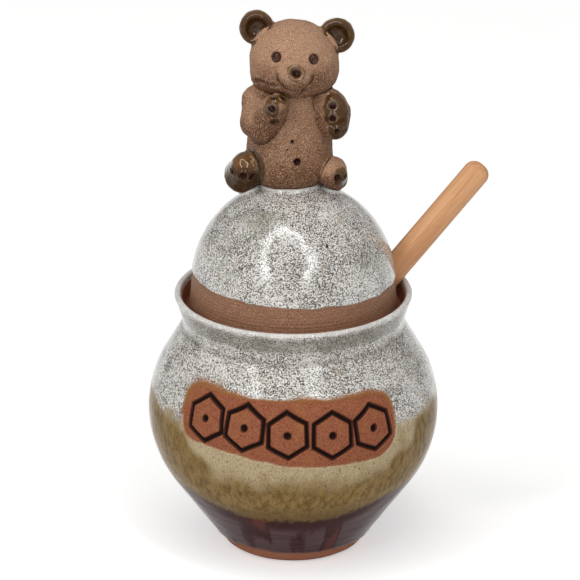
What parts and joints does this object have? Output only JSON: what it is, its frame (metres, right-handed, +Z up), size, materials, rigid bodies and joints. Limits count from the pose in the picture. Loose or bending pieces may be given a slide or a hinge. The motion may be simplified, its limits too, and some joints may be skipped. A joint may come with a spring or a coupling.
{
  "type": "honey pot",
  "caption": "Round stoneware honey pot with a lift-off domed lid, a seated bear knob on the lid and a wooden dipper leaning out through a notch in the lid.",
  "frame": {"origin": "on the pot's axis, in the plane that its foot ring stands on", "axes": "+Z up along the pot's axis; the bear looks along -Y; the dipper leans out on the +X side"},
  "size_m": [0.1266, 0.1084, 0.2092],
  "materials": {
    "pot_glaze": "gloss glaze running from speckled grey-white through olive-tan to dark brown, bare clay foot and panel",
    "lid_glaze": "gloss speckled grey-white glaze on the dome, bare brown band below it",
    "bear_clay": "unglazed fired brown clay, fine sandy surface",
    "bear_glaze": "thin glossy olive-brown glaze",
    "beech": "sanded bare beech, satin"
  },
  "bodies": {
    "pot": {"pot": "pot_glaze"},
    "lid": {"lid": "lid_glaze", "bear_body": "bear_clay", "bear_head": "bear_clay", "bear_muzzle": "bear_clay", "bear_left_ear": "bear_glaze", "bear_right_ear": "bear_glaze", "bear_left_arm": "bear_clay", "bear_right_arm": "bear_clay", "bear_left_leg": "bear_clay", "bear_right_leg": "bear_clay"},
    "dipper": {"dipper": "beech"}
  },
  "joints": [
    {"name": "lid_lift", "type": "slide", "parent": "pot", "child": "lid", "axis": [0, 0, 1], "range_m": [0, 0.08]},
    {"name": "dipper_slide", "type": "slide", "parent": "pot", "child": "dipper", "axis": [0.6457, 0.1852, 0.7408], "range_m": [0, 0.044]}
  ]
}
